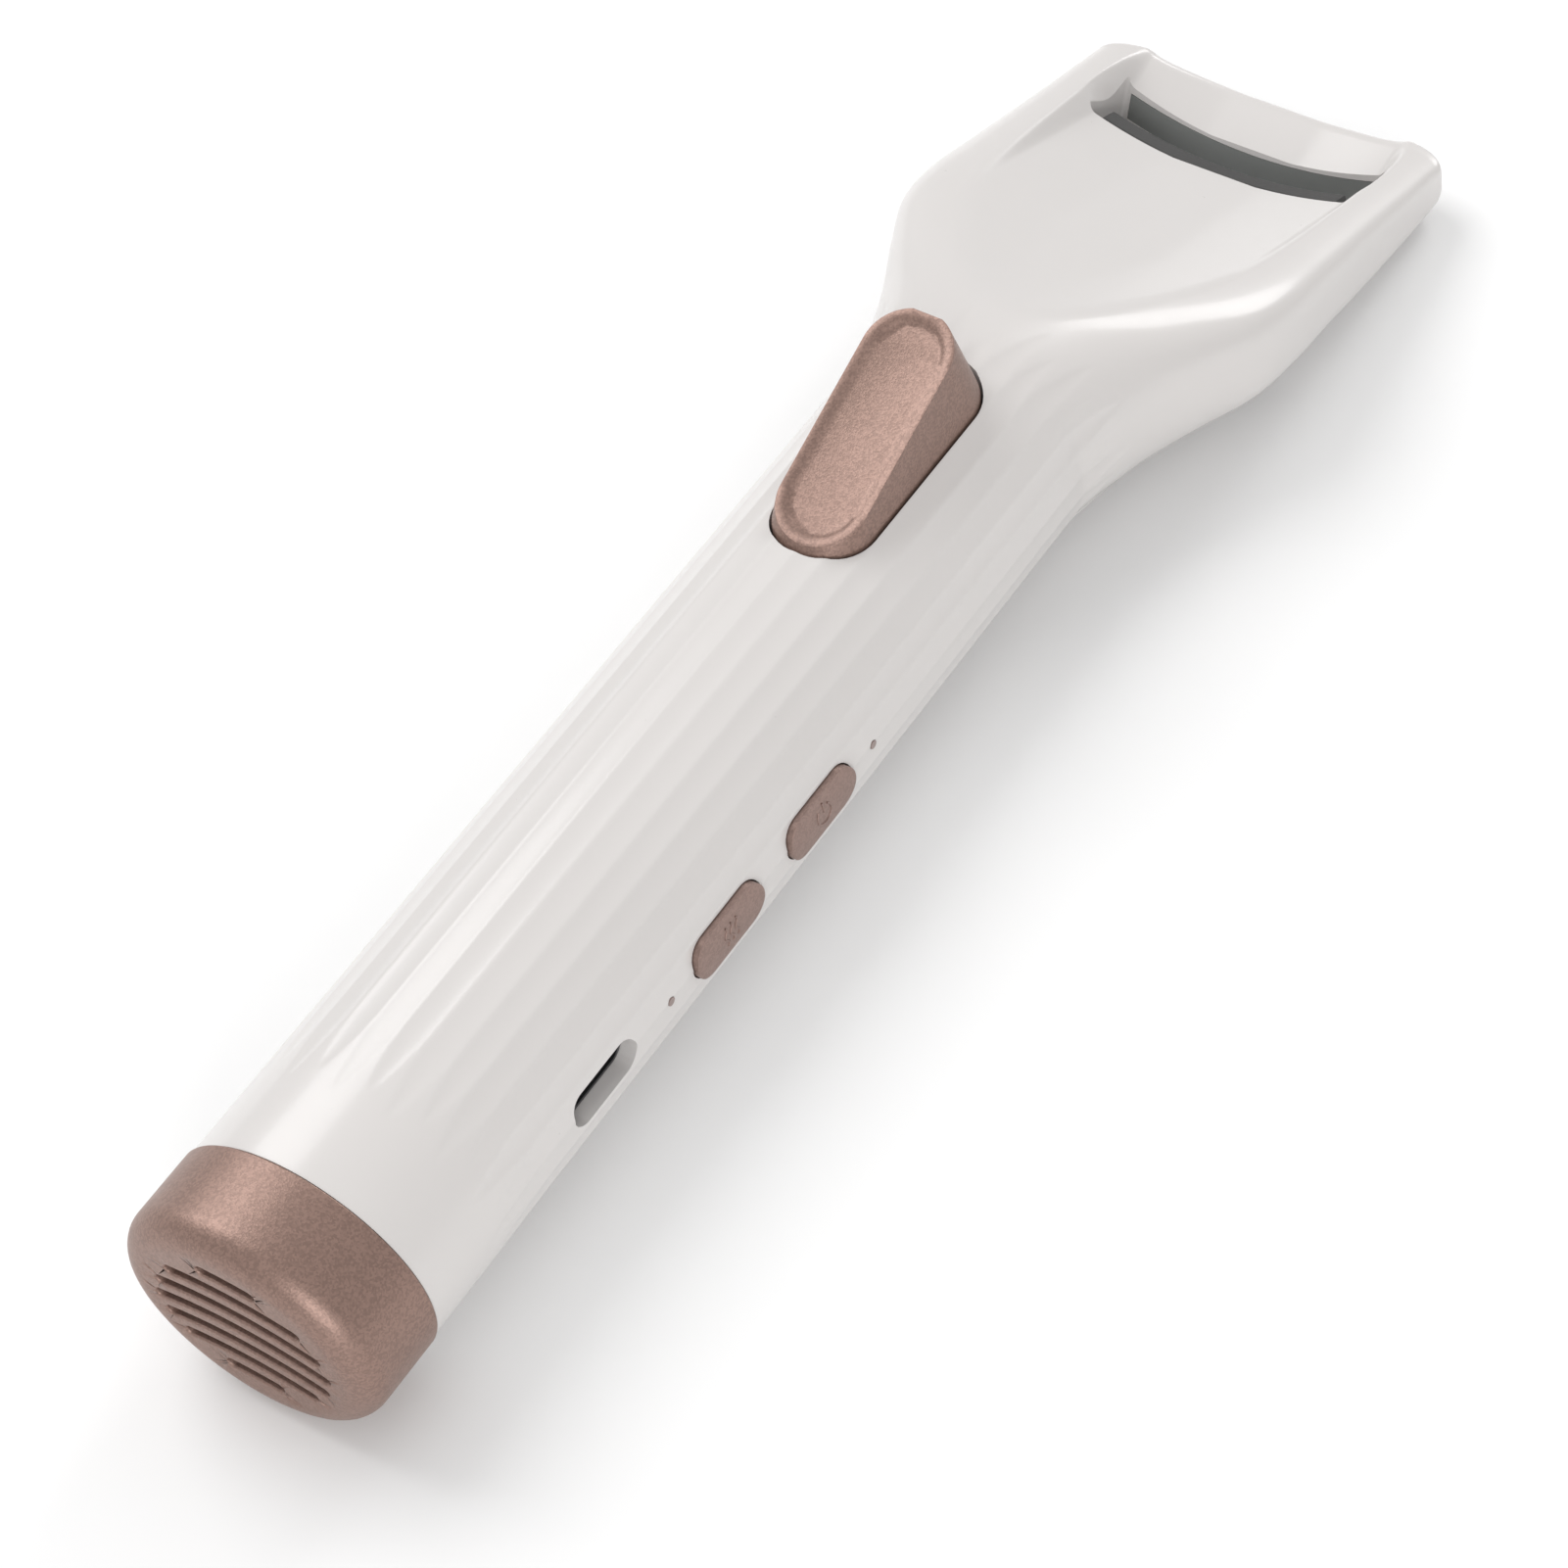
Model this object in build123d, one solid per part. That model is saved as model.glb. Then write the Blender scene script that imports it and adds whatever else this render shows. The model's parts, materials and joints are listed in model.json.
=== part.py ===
from build123d import *
import os
from math import cos, degrees, hypot, pi, radians, sin

# Heated eyelash curler, lying on its back. While it is modelled, Y runs from the flat end of the cap
# to the tip, Z = 0 is the axis of the handle and X goes across. The last step moves every piece so
# that the origin is at the bottom centre of the whole object.

# ---------------------------------------------------------------- driving dimensions (mm)
HANDLE_HALF_WIDTH = 13.0
HANDLE_HALF_DEPTH = 11.77
CAP_LENGTH = 9.6             # the cap's skirt; the white body starts just after it
BODY_START = 9.63
CAP_PROUD = 0.15             # the cap stands this much outside the handle
CAP_END_ROUND = 2.8
CAP_END_WALL = 1.8
NECK_START = 114.4           # the handle's plain section ends here
WALL = 1.5
REST_LEVEL = -11.92          # underside of the cap and of the tip, on which the tool lies

RIM_Y = 157.7                # reference point on the rim plane of the head
RIM_Z = 0.25
RIM_TILT = 17.2              # the head leans back from the handle by this angle
TIP_OUTLINE = (              # side view of the tip: along the rim plane from the reference, and out of it
    (18.4, 6.0),
    (18.4, 0.0),
    (19.6, -1.6),
    (20.3, -3.4),
    (20.1, -4.8),
    (19.3, -6.0),
    (17.4, -7.4),
)

TRAY_Y = 161.8               # middle of the tray's edge at the lash slot
TRAY_Z = -5.4
TRAY_TILT = 22.5             # slope of the tray, and of the jaw's travel
TRAY_RADIUS = 54.6           # the tray is hollow across, to suit the eye
TRAY_HALF_WIDTH = 16.6
TRAY_EDGE_WALL = 0.8
SLOT_HALF_WIDTH = 16.4
SLOT_LENGTH = 8.2            # from the tray's edge to the fixed jaw
LIP_SLOPE = 35.0
PAD_REACH = 2.9              # the silicone pad stands out of the tray's edge by this
JAW_TRAVEL = 5.0
JAW_HALF_WIDTH = 13.9
JAW_WINDOW_GAP = 0.3
STRIP_HALF_WIDTH = 14.4
STRIP_THICKNESS = 0.8
STRIP_DEPTHS = (0.4, 3.2)

SEAM_Z = -5.0                # joint between the front shell and the back cover
SEAM_BEND_Y = 135.0
COVER_END = (158.0, -9.0)
SEAM_GAP = 0.05

LEVER_PIVOT = (88.0, 7.5)    # Y and Z of the hinge pin
LEVER_SWING = 12.0           # degrees, from rest to fully pressed
LEVER_TAIL = (87.0, 11.88)   # Y and Z of the two ends of the lever's sloping top
LEVER_HEAD = (110.3, 20.65)
LEVER_TOP_WIDTH = 9.1
LEVER_BASE_WIDTH = 10.0
LEVER_BASE_Y = (86.4, 113.65)
LEVER_BASE_Z = 11.0
LEVER_SKIRT_Z = 6.3
LEVER_WALL = 1.4
LEVER_GAP = 0.25
LEVER_REACH = 25.62          # the lever's head end follows an arc about its pin
LEVER_BOSS_RADIUS = 1.9
EAR_X = (5.6, 8.6)

PIN_RADIUS = 1.0
PIN_HALF_LENGTH = 8.0
PIN_CLEARANCE = 0.05
CAM_PIN = (107.5, 4.0)       # Y and Z of the cam pin at the lever's nose
CAM_PIN_RADIUS = 1.2
CAM_CLEARANCE = 0.1
CAM_STEPS = 8
SPINE_HALF_WIDTH = 3.5
SPINE_START = 111.5
SPINE_FLOOR = -2.2

SIDE_Z = 0.96                # line of the port, buttons and lights on the right side
PORT_Y = 35.1
PORT_LENGTH = 9.3
PORT_WIDTH = 3.6
LIGHT_YS = {"charge": 45.0, "heat": 77.6}
LIGHT_RADIUS = 0.45
BUTTON_YS = {"temperature": 53.85, "power": 68.8}
BUTTON_LENGTH = 10.4
BUTTON_WIDTH = 4.4
BUTTON_GAP = 0.15
BUTTON_PROUD = 0.35
BUTTON_FLANGE_X = (9.3, 10.2)
BUTTON_FLANGE_MARGIN = 0.9
SWITCH_TIP_X = 8.85

BOARD_X = (3.4, 8.6)
BOARD_Y = (28.0, 84.0)
BOARD_TOP = -0.65
BOARD_THICKNESS = 1.0
BOARD_SCREWS = ((5.6, 42.2), (5.6, 82.0))
BOARD_SCREW_RADIUS = 0.7
BOARD_SCREW_LENGTH = 3.0
BATTERY_RADIUS = 7.0
BATTERY_X = -4.0
BATTERY_Y = (24.0, 73.0)

ROD_X = 9.0
ROD_DEPTH = -5.0             # rods lie this far under the tray's middle line
ROD_RADIUS = 1.0
ROD_SPAN = (-36.0, -15.2)    # along the tray, counted from its edge
CROSSBAR_SPAN = (-33.0, -30.0)
POST_SPANS = ((-36.6, -34.0), (-17.5, -14.9))
POST_X = (7.0, 11.0)
POST_DEPTH = -7.2
SPRING_RADIUS = 1.55
SPRING_WIRE = 0.25

HOUSING_SCREWS = ((0.0, 19.5, -10.1), (-3.0, 80.0, -10.1), (-13.5, 142.5, -8.2), (13.5, 142.5, -8.2))
SCREW_RADIUS = 1.0
SCREW_LENGTH = 8.0
SCREW_HEAD_RADIUS = 1.9
SCREW_HEAD_HEIGHT = 1.2
SCREW_BOSS_RADIUS = 2.5

GRILLE_PITCH = 2.35
GRILLE_SLOT_WIDTH = 1.15
GRILLE_BOW_RADIUS = 37.0
GRILLE_LIFT = 0.35
GRILLE_LENGTHS = (6.0, 14.0, 17.2, 18.4, 17.2, 14.0, 6.0)

# Stations of the head: Y, half-width, top, bottom, height of the widest place, then how square the
# outline is above and below that place (2 is an ellipse).
STATIONS = (
    (114.4, 13.0, 11.77, -11.77, 0.0, 2.0, 2.0),
    (116.0, 13.3, 11.76, -11.77, 0.1, 2.05, 2.0),
    (119.0, 14.0, 11.5, -11.77, 0.3, 2.3, 2.0),
    (124.0, 15.5, 10.6, -11.77, 0.6, 2.8, 2.05),
    (130.0, 18.1, 8.8, -11.77, 0.6, 4.0, 2.1),
    (136.0, 20.5, 6.97, -11.78, -0.4, 5.5, 2.15),
    (142.0, 21.1, 5.11, -11.8, -1.4, 6.5, 2.2),
    (150.0, 20.8, 2.63, -11.82, -2.8, 6.5, 2.6),
    (160.0, 20.4, -0.46, -11.87, -4.6, 6.5, 3.6),
    (170.0, 20.1, -3.56, -11.9, -6.4, 6.5, 5.0),
    (180.0, 19.8, -6.65, -11.92, -8.4, 6.5, 6.0),
)
OUTLINE_POINTS = 36
FAR = 60.0                   # further than anything in the tool reaches


# ---------------------------------------------------------------- helpers
def box(x, y, z):
    """A box between three pairs of limits."""
    size = [abs(high - low) for low, high in (x, y, z)]
    middle = [(low + high) / 2 for low, high in (x, y, z)]
    return Pos(*middle) * Box(*size)


def cylinder_x(radius, x, at):
    """A cylinder along X between two limits, centred on a Y, Z point."""
    return Pos((x[0] + x[1]) / 2, at[0], at[1]) * Rot(0, 90, 0) * Cylinder(radius, x[1] - x[0])


def cylinder_y(radius, y, at):
    """A cylinder along Y between two limits, centred on an X, Z point."""
    return Pos(at[0], (y[0] + y[1]) / 2, at[1]) * Rot(90, 0, 0) * Cylinder(radius, y[1] - y[0])


def cylinder_z(radius, at, z):
    """A cylinder along Z between two limits, centred on an X, Y point."""
    return Pos(at[0], at[1], (z[0] + z[1]) / 2) * Cylinder(radius, z[1] - z[0])


def along_y(sketch, y):
    """Extrude an X-Z sketch along Y."""
    face = Plane((0, y[0], 0), x_dir=(1, 0, 0), z_dir=(0, -1, 0)) * sketch
    return extrude(face, amount=y[1] - y[0], dir=(0, 1, 0))


def side_shape(points, half_width):
    """Extrude a Y-Z outline to both sides of the middle plane."""
    return extrude(Plane.YZ * make_face(Polyline(*points, close=True)), amount=half_width, both=True)


def stadium_x(y, length, width, x):
    """A round-ended bar along X on the side line, with its long side along Y."""
    face = Plane((x[0], y, SIDE_Z), x_dir=(0, 1, 0), z_dir=(1, 0, 0)) * SlotOverall(length, width)
    return extrude(face, amount=x[1] - x[0], dir=(1, 0, 0))


TRAY = Location((0, TRAY_Y, TRAY_Z), (-TRAY_TILT, 0, 0))


def tray_point(t, m):
    """Y and Z of a point t along the tray from its edge, and m out of it."""
    slope = radians(TRAY_TILT)
    return (TRAY_Y + t * cos(slope) + m * sin(slope), TRAY_Z - t * sin(slope) + m * cos(slope))


def rim_point(v, h):
    """Y and Z of a point v along the rim plane from its reference point, and h out of it."""
    slope = radians(RIM_TILT)
    return (RIM_Y + v * cos(slope) + h * sin(slope), RIM_Z - v * sin(slope) + h * cos(slope))


def arc_band(half_width, depths, t):
    """A curved bar that follows the tray's hollow, between two depths below its surface."""
    ring = Circle(TRAY_RADIUS + depths[1]) - Circle(TRAY_RADIUS + depths[0])
    window = Pos(0, -TRAY_RADIUS) * Rectangle(2 * half_width, 20)
    return TRAY * along_y(Pos(0, TRAY_RADIUS) * (ring & window), t)


def both_sides(shape):
    return shape + mirror(shape, about=Plane.YZ)


# ---------------------------------------------------------------- outer form
def section(station, inset):
    """The outline across the head at one station."""
    y, half_width, top, bottom, middle, square_up, square_down = station
    points = []
    for i in range(OUTLINE_POINTS):
        turn = 2 * pi * (i + 0.5) / OUTLINE_POINTS
        above = sin(turn) > 0
        power = 2 / (square_up if above else square_down)
        reach = (top - middle if above else middle - bottom) - inset
        side = 1 if cos(turn) > 0 else -1
        x = side * (half_width - inset) * abs(cos(turn)) ** power
        z = middle + (1 if above else -1) * reach * abs(sin(turn)) ** power
        points.append((x, y, z))
    return make_face(Spline(*points, periodic=True))


def outer_form(inset, start):
    """The form of the white body at some depth inside its surface, from a given place on the handle."""
    handle = extrude(section(STATIONS[0], inset), amount=NECK_START - start, dir=(0, -1, 0))
    return handle + loft([section(station, inset) for station in STATIONS])


def behind_tip():
    """Everything on the handle's side of the rounded tip."""
    outline = [rim_point(v, h) for v, h in TIP_OUTLINE]
    low = outline[-1][0]
    outline += [(low, REST_LEVEL), (0, REST_LEVEL), (0, FAR), (outline[0][0], FAR)]
    return side_shape(outline, FAR)


def tray_hollow(extra, half_width, end):
    """The space in front of the tray, down to some depth under its curved surface."""
    bowl = Pos(0, TRAY_RADIUS) * Circle(TRAY_RADIUS + extra)
    window = Pos(0, FAR / 4) * Rectangle(2 * half_width, FAR)
    return TRAY * along_y(bowl & window, (-FAR, end))


def lip_hollow():
    """The space in front of the fixed jaw, whose curved face slopes up to the tip's edge."""
    bowl = Pos(0, TRAY_RADIUS) * Circle(TRAY_RADIUS)
    window = Pos(0, FAR / 4) * Rectangle(2 * TRAY_HALF_WIDTH, FAR)
    return TRAY * Pos(0, SLOT_LENGTH, 0) * Rot(LIP_SLOPE, 0, 0) * along_y(bowl & window, (-5, FAR / 2))


def lash_slot():
    return TRAY * box((-SLOT_HALF_WIDTH, SLOT_HALF_WIDTH), (0, SLOT_LENGTH), (-20, 20))


def cover_side(gap=0.0):
    """Everything that belongs to the back cover's side of the seam."""
    outline = [(0, SEAM_Z - gap), (SEAM_BEND_Y, SEAM_Z - gap), (COVER_END[0] - gap, COVER_END[1] - gap)]
    outline += [(COVER_END[0] - gap, -FAR), (0, -FAR)]
    return side_shape(outline, FAR)


def lever_plan(gap, z):
    """The lever's plan outline, wider by a gap, between two heights."""
    length = LEVER_BASE_Y[1] - LEVER_BASE_Y[0] + 2 * gap
    plan = Rot(0, 0, 90) * SlotOverall(length, LEVER_BASE_WIDTH + 2 * gap)
    return Pos(0, sum(LEVER_BASE_Y) / 2, z[0]) * extrude(plan, amount=z[1] - z[0])


# ---------------------------------------------------------------- housing and back cover
def inner_ribs():
    """Posts for the guide rods, ears for the lever's pin, screw columns and board bosses."""
    ribs = []
    for span in POST_SPANS:
        ribs.append(both_sides(TRAY * box(POST_X, span, (POST_DEPTH, 12))))
    ears = box(EAR_X, (LEVER_PIVOT[0] - 2.6, LEVER_PIVOT[0] + 2.6), (LEVER_PIVOT[1] - 2.6, 14))
    ribs.append(both_sides(ears))
    for x, y, seat in HOUSING_SCREWS:
        ribs.append(cylinder_z(SCREW_BOSS_RADIUS, (x, y), (REST_LEVEL, 14)))
    for at in BOARD_SCREWS:
        ribs.append(cylinder_z(1.8, at, (BOARD_TOP, 14)))
    return ribs


def side_openings():
    """Cut-outs along the right side for the port, the buttons and the lights."""
    cuts = [stadium_x(PORT_Y, PORT_LENGTH, PORT_WIDTH, (8, 16))]
    for y in BUTTON_YS.values():
        cuts.append(stadium_x(y, BUTTON_LENGTH + 2 * BUTTON_GAP, BUTTON_WIDTH + 2 * BUTTON_GAP, (8, 16)))
    for y in LIGHT_YS.values():
        cuts.append(cylinder_x(LIGHT_RADIUS, (9, 16), (y, SIDE_Z)))
    return cuts


def jaw_openings():
    """Room for the moving jaw under the tray's edge, and for the strip in the fixed jaw."""
    return [
        arc_band(JAW_HALF_WIDTH + JAW_WINDOW_GAP, (1.55, 4.9), (-6, 0.5)),
        arc_band(STRIP_HALF_WIDTH, STRIP_DEPTHS, (SLOT_LENGTH - 0.5, SLOT_LENGTH + STRIP_THICKNESS)),
    ]


def make_room():
    """The hollow inside the body, which stays under the tray and stops before the lash slot."""
    before_slot = TRAY * box((-FAR, FAR), (-4 * FAR, -WALL), (-2 * FAR, 2 * FAR))
    return (outer_form(WALL, BODY_START - 1) & before_slot) - tray_hollow(WALL, FAR, FAR)


def make_shell():
    """The body as one hollow piece with all its openings, before it is split at the seam."""
    form = (outer_form(0, BODY_START) & behind_tip()) - tray_hollow(0, TRAY_HALF_WIDTH, SLOT_LENGTH)
    skin = outer_form(WALL / 2, BODY_START) - tray_hollow(WALL / 2, FAR, FAR)
    shell = form - make_room()
    for rib in inner_ribs():
        shell += rib & skin
    shell -= lip_hollow()
    shell -= lash_slot()
    shell -= lever_plan(LEVER_GAP, (LEVER_PIVOT[1] + 1.3, FAR))
    for cut in jaw_openings() + side_openings():
        shell -= cut
    shell -= both_sides(TRAY * cylinder_y(ROD_RADIUS, ROD_SPAN, (ROD_X, ROD_DEPTH)))
    shell -= cylinder_x(PIN_RADIUS, (-PIN_HALF_LENGTH, PIN_HALF_LENGTH), LEVER_PIVOT)
    for x, y, seat in HOUSING_SCREWS:
        shell -= cylinder_z(SCREW_RADIUS, (x, y), (seat - 1, seat + SCREW_LENGTH))
        shell -= cylinder_z(SCREW_HEAD_RADIUS + 0.15, (x, y), (REST_LEVEL - 1, seat))
    for at in BOARD_SCREWS:
        shell -= cylinder_z(BOARD_SCREW_RADIUS, at, (BOARD_TOP - 1, BOARD_TOP + BOARD_SCREW_LENGTH))
    return shell


# ---------------------------------------------------------------- end cap
def make_end_cap():
    skirt = Ellipse(HANDLE_HALF_WIDTH + CAP_PROUD, HANDLE_HALF_DEPTH + CAP_PROUD)
    cap = along_y(skirt, (0, CAP_LENGTH))
    cap = fillet(cap.edges().group_by(Axis.Y)[0], CAP_END_ROUND)
    inset = WALL + 0.1
    cap += along_y(Ellipse(HANDLE_HALF_WIDTH - inset, HANDLE_HALF_DEPTH - inset), (CAP_LENGTH - 1, 15.4))
    cap -= along_y(Ellipse(HANDLE_HALF_WIDTH - inset, HANDLE_HALF_DEPTH - inset), (CAP_END_WALL, 8.0))
    bore = inset + 1.3
    cap -= along_y(Ellipse(HANDLE_HALF_WIDTH - bore, HANDLE_HALF_DEPTH - bore), (7.0, 16.0))
    middle = (len(GRILLE_LENGTHS) - 1) / 2
    for i, length in enumerate(GRILLE_LENGTHS):
        half_turn = degrees((length - GRILLE_SLOT_WIDTH) / 2 / GRILLE_BOW_RADIUS)
        arc = CenterArc((0, -GRILLE_BOW_RADIUS), GRILLE_BOW_RADIUS, 90 - half_turn, 2 * half_turn)
        slot = Pos(0, (i - middle) * GRILLE_PITCH + GRILLE_LIFT) * SlotArc(arc, GRILLE_SLOT_WIDTH)
        cap -= along_y(slot, (-1, CAP_END_WALL + 0.5))
    return cap


def make_dust_screen():
    return along_y(Ellipse(10.9, 9.7), (CAP_END_WALL + 0.02, CAP_END_WALL + 0.4))


# ---------------------------------------------------------------- thumb lever
def make_thumb_lever():
    run = LEVER_HEAD[0] - LEVER_TAIL[0]
    rise = LEVER_HEAD[1] - LEVER_TAIL[1]
    slope_length = hypot(run, rise)
    middle = (0, (LEVER_HEAD[0] + LEVER_TAIL[0]) / 2, (LEVER_HEAD[1] + LEVER_TAIL[1]) / 2)
    top = Plane(middle, x_dir=(0, run, rise), z_dir=(0, -rise, run))
    base_length = LEVER_BASE_Y[1] - LEVER_BASE_Y[0]
    base = Rot(0, 0, 90) * SlotOverall(base_length, LEVER_BASE_WIDTH)
    base = Pos(0, sum(LEVER_BASE_Y) / 2, LEVER_BASE_Z) * base
    lever = loft([base, top * SlotOverall(slope_length, LEVER_TOP_WIDTH)], ruled=True)
    dish_rim = top.offset(0.01) * SlotOverall(slope_length - 1.4, LEVER_TOP_WIDTH - 1.4)
    dish_floor = top.offset(-0.5) * SlotOverall(slope_length - 3.2, LEVER_TOP_WIDTH - 3.2)
    lever -= loft([dish_rim, dish_floor], ruled=True)
    lever += lever_plan(0, (LEVER_SKIRT_Z, LEVER_BASE_Z))
    lever &= cylinder_x(LEVER_REACH, (-FAR, FAR), LEVER_PIVOT)
    lever += cylinder_x(LEVER_BOSS_RADIUS, (-4.2, 4.2), LEVER_PIVOT)
    half_inside = LEVER_BASE_WIDTH / 2 - LEVER_WALL
    lever -= side_shape([(89.9, 5), (111.4, 5), (110.6, 11), (108.4, 18.0), (89.9, 11.0)], half_inside)
    lever -= cylinder_x(2.7, (-2.6, 2.6), LEVER_PIVOT)
    for side in (-1, 1):
        cheek = Pos(side * 2.5, 0, 0) * side_shape([(105.3, 16.9), (105.3, 2.6), (106.3, 1.9), (108.7, 1.9), (109.5, 2.8), (109.5, 18.4)], 0.6)
        lever += cheek
    lever -= cylinder_x(PIN_RADIUS + PIN_CLEARANCE, (-6, 6), LEVER_PIVOT)
    lever -= cylinder_x(CAM_PIN_RADIUS, (-4, 4), CAM_PIN)
    return lever


def make_lever_spring():
    """A torsion spring round the hinge pin, with a leg under the lever's roof and one held still."""
    radius = 1.65
    half_length = 2.1
    turns = 5.5
    coil = Helix(2 * half_length / turns, 2 * half_length, radius)
    wire = sweep(Plane(coil @ 0, z_dir=coil % 0) * Circle(SPRING_WIRE), path=coil)
    spring = Pos(-half_length, *LEVER_PIVOT) * Rot(0, 90, 0) * wire
    for x, side in ((-half_length, -1), (half_length, 1)):
        at = (x, LEVER_PIVOT[1] + side * radius)
        spring += cylinder_y(SPRING_WIRE, (LEVER_PIVOT[0], LEVER_PIVOT[0] + 7.5), at)
    return spring


# ---------------------------------------------------------------- moving jaw
def cam_track():
    """The cam pin's path as seen from the carriage, moved down by the pin's radius."""
    slope = radians(TRAY_TILT)
    arm_y = CAM_PIN[0] - LEVER_PIVOT[0]
    arm_z = CAM_PIN[1] - LEVER_PIVOT[1]
    track = []
    for i in range(CAM_STEPS + 1):
        swing = radians(LEVER_SWING) * i / CAM_STEPS
        travel = JAW_TRAVEL * i / CAM_STEPS
        y = LEVER_PIVOT[0] + arm_y * cos(swing) + arm_z * sin(swing) - travel * cos(slope)
        z = LEVER_PIVOT[1] - arm_y * sin(swing) + arm_z * cos(swing) + travel * sin(slope)
        track.append((y, z))
    down_run = track[0][0] - track[-1][0]
    down_rise = track[0][1] - track[-1][1]
    reach = (CAM_PIN_RADIUS + CAM_CLEARANCE) / hypot(down_run, down_rise)
    return [(y + down_rise * reach, z - down_run * reach) for y, z in track]


def make_jaw_carriage():
    track = cam_track()
    top = track[0][1] + 0.15
    spine = [(SPINE_START, top), (129.2, 4.4), tray_point(-9.9, -2.0), tray_point(-9.9, -4.6)]
    spine += [tray_point(-34, -7), (SPINE_START, SPINE_FLOOR)]
    carriage = side_shape(spine, SPINE_HALF_WIDTH)
    rib = [(SPINE_START + 1, SPINE_FLOOR), (SPINE_START + 1, top), (track[0][0] + 0.8, top)] + track
    rib += [(track[-1][0] - 0.9, track[-1][1] - 0.4), (track[-1][0] - 0.9, SPINE_FLOOR)]
    carriage += side_shape(rib, 1.6)
    carriage += arc_band(13.5, (1.7, 4.6), (-10, -4.7))
    carriage += arc_band(13.5, (3.8, 4.6), (-4.8, -0.6))
    carriage += TRAY * box((-11.3, 11.3), CROSSBAR_SPAN, (-6.6, -3.4))
    carriage -= both_sides(TRAY * cylinder_y(ROD_RADIUS + PIN_CLEARANCE, (-40, -20), (ROD_X, ROD_DEPTH)))
    return carriage


def make_heater_bar():
    return arc_band(13.7, (1.7, 3.75), (-3.0, 0.0)) - arc_band(13.45, (1.9, 3.3), (-1.25, 1))


def make_silicone_pad():
    stem = arc_band(13.4, (1.95, 3.25), (-1.2, 0.15))
    return stem + arc_band(JAW_HALF_WIDTH, (0.1, 3.5), (0.12, PAD_REACH))


def make_return_spring(side):
    """A compression spring on one guide rod, between the crossbar and the front post."""
    start = CROSSBAR_SPAN[1] + 0.1 + SPRING_WIRE
    length = POST_SPANS[1][0] - 0.1 - SPRING_WIRE - start
    coil = Helix(length / 8, length, SPRING_RADIUS)
    wire = sweep(Plane(coil @ 0, z_dir=coil % 0) * Circle(SPRING_WIRE), path=coil)
    return TRAY * Pos(side * ROD_X, start, ROD_DEPTH) * Rot(-90, 0, 0) * wire


# ---------------------------------------------------------------- side controls and electronics
def make_button(y):
    cap = stadium_x(y, BUTTON_LENGTH, BUTTON_WIDTH, (BUTTON_FLANGE_X[1] - 0.1, 16))
    crown = Ellipse(HANDLE_HALF_WIDTH + BUTTON_PROUD, HANDLE_HALF_DEPTH + BUTTON_PROUD)
    cap &= along_y(crown, (y - 10, y + 10))
    margin = 2 * BUTTON_FLANGE_MARGIN
    return cap + stadium_x(y, BUTTON_LENGTH + margin, BUTTON_WIDTH + margin, BUTTON_FLANGE_X)


def make_switch(y):
    body = box((5.6, 8.4), (y - 2.3, y + 2.3), (BOARD_TOP, SIDE_Z + 1.6))
    return body + cylinder_x(0.9, (8.3, SWITCH_TIP_X), (y, SIDE_Z))


def make_light_pipe(y):
    pipe = cylinder_x(LIGHT_RADIUS - 0.02, (8.7, 12.92), (y, SIDE_Z))
    return pipe + cylinder_x(0.9, (10.4, 11.2), (y, SIDE_Z))


def make_led(y):
    return box((7.4, 8.5), (y - 0.8, y + 0.8), (BOARD_TOP, SIDE_Z + 0.6))


def make_circuit_board():
    board = box(BOARD_X, BOARD_Y, (BOARD_TOP - BOARD_THICKNESS, BOARD_TOP))
    for at in BOARD_SCREWS:
        board -= cylinder_z(BOARD_SCREW_RADIUS + 0.1, at, (BOARD_TOP - 2, BOARD_TOP + 1))
    return board


def make_usb_port():
    port = stadium_x(PORT_Y, 8.94, 3.2, (3.9, 11.2)) - stadium_x(PORT_Y, 8.3, 2.56, (5.0, 12))
    tongue = box((4.9, 10.4), (PORT_Y - 3.3, PORT_Y + 3.3), (SIDE_Z - 0.35, SIDE_Z + 0.35))
    return port + tongue


def make_battery():
    cell = cylinder_y(BATTERY_RADIUS, BATTERY_Y, (BATTERY_X, 0))
    cell = fillet(cell.edges().filter_by(GeomType.CIRCLE), 0.6)
    return cell + cylinder_y(2.8, (BATTERY_Y[1] - 0.1, BATTERY_Y[1] + 0.9), (BATTERY_X, 0))


def make_battery_tabs():
    """Nickel strips on both ends of the cell."""
    tabs = []
    for y in ((BATTERY_Y[0] - 0.2, BATTERY_Y[0]), (BATTERY_Y[1] + 0.9, BATTERY_Y[1] + 1.1)):
        tabs.append(box((BATTERY_X - 2, BATTERY_X + 2), y, (-5, 2)))
    return tabs


def make_screw(x, y, seat, radius, length, head_radius, head_height):
    """A pan-head screw that points up, with a cross recess; seat is the level under its head."""
    screw = cylinder_z(radius, (x, y), (seat - 0.1, seat + length))
    screw += cylinder_z(head_radius, (x, y), (seat - head_height, seat))
    floor = seat - head_height + 0.55
    screw -= box((x - 1.1, x + 1.1), (y - 0.2, y + 0.2), (floor - 2, floor))
    screw -= box((x - 0.2, x + 0.2), (y - 1.1, y + 1.1), (floor - 2, floor))
    return screw


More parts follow.
